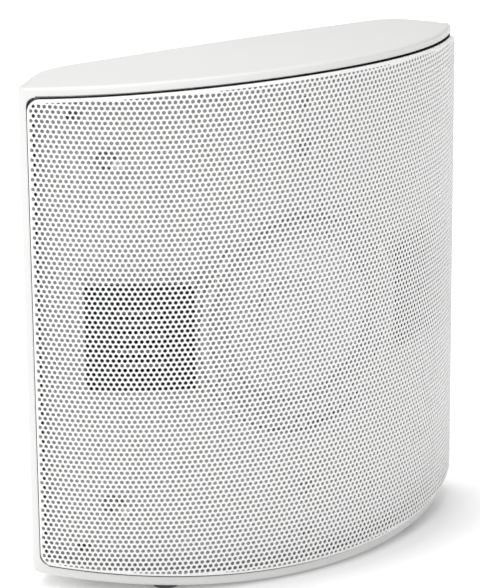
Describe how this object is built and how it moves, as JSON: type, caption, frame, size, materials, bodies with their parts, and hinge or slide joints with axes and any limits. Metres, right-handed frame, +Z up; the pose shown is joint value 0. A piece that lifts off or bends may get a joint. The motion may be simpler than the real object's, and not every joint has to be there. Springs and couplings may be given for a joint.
{
  "type": "surround speaker",
  "caption": "Wall-mount surround speaker: white moulded cabinet with a bowed perforated grille, a woofer in the middle and a slatted tweeter on either side of it.",
  "frame": {"origin": "middle of the footprint, on the surface that the feet stand on", "axes": "+Z up; -Y is the way the front faces; +X to the right seen from the front"},
  "size_m": [0.2708, 0.09, 0.2818],
  "materials": {
    "white_shell": "fine satin white moulding",
    "baffle_plastic": "plain white moulding",
    "grille_metal": "white powder coat",
    "white_nylon": "moulded nylon",
    "white_rubber": "matt silicone rubber",
    "soft_rubber": "matt rubber",
    "foam_gasket": "closed-cell foam",
    "basket_metal": "pale grey paint on pressed steel",
    "cone": "satin light grey cone",
    "surround_rubber": "light grey rubber",
    "spider_cloth": "resin-stiffened cloth",
    "copper_wire": "enamelled copper wire",
    "white_screws": "white paint on steel heads",
    "plated_steel": "zinc plate",
    "ferrite": "sintered ferrite",
    "black_screws": "black oxide",
    "black_plastic": "satin black moulding",
    "slatted_black": "satin black moulding with paler bars",
    "film": "pleated film with foil strips",
    "circuit_board": "solder mask",
    "capacitor_film": "wrapped film",
    "ceramic": "fired ceramic",
    "gold_plate": "gold-plated brass",
    "red_plastic": "clear red moulding",
    "foam": "open-cell foam"
  },
  "bodies": {
    "speaker": {"cabinet": "white_shell", "front_baffle": "baffle_plastic", "grille_grommets": "white_rubber", "woofer_gasket": "foam_gasket", "woofer_basket": "basket_metal", "woofer_surround": "surround_rubber", "woofer_spider": "spider_cloth", "woofer_top_plate": "plated_steel", "woofer_magnet": "ferrite", "woofer_back_plate": "plated_steel", "woofer_screws": "plated_steel", "left_tweeter_faceplate": "slatted_black", "right_tweeter_faceplate": "slatted_black", "left_tweeter_diaphragm": "film", "right_tweeter_diaphragm": "film", "left_tweeter_magnet": "ferrite", "right_tweeter_magnet": "ferrite", "tweeter_screws": "black_screws", "baffle_screws": "white_screws", "crossover_board": "circuit_board", "crossover_inductors": "copper_wire", "crossover_capacitors": "capacitor_film", "crossover_resistor": "ceramic", "board_screws": "plated_steel", "terminal_cup": "black_plastic", "terminal_screws": "black_screws", "red_binding_post": "gold_plate", "black_binding_post": "gold_plate", "bracket_insert": "gold_plate", "keyhole_plates": "plated_steel", "keyhole_screws": "plated_steel", "damping_pads": "foam", "rear_pads": "soft_rubber", "feet": "soft_rubber"},
    "grille_panel": {"grille": "grille_metal", "grille_pegs": "white_nylon"},
    "cone_assembly": {"woofer_cone": "cone", "woofer_dust_cap": "cone", "voice_coil": "copper_wire"},
    "red_terminal": {"red_knob": "red_plastic"},
    "black_terminal": {"black_knob": "black_plastic"}
  },
  "joints": [
    {"name": "grille_slide", "type": "slide", "parent": "speaker", "child": "grille_panel", "axis": [0, -1, 0], "range_m": [0, 0.03]},
    {"name": "cone_travel", "type": "slide", "parent": "speaker", "child": "cone_assembly", "axis": [0, -1, 0], "range_m": [-0.003, 0.003], "stiffness_N_per_m": 1500, "deforming": ["woofer_surround", "woofer_spider"]},
    {"name": "red_knob_turn", "type": "hinge", "parent": "speaker", "child": "red_terminal", "pos_m": [-0.0095, 0.02, 0.062], "axis": [0, 1, 0], "range_deg": [0, 720]},
    {"name": "black_knob_turn", "type": "hinge", "parent": "speaker", "child": "black_terminal", "pos_m": [0.0095, 0.02, 0.062], "axis": [0, 1, 0], "range_deg": [0, 720]}
  ]
}
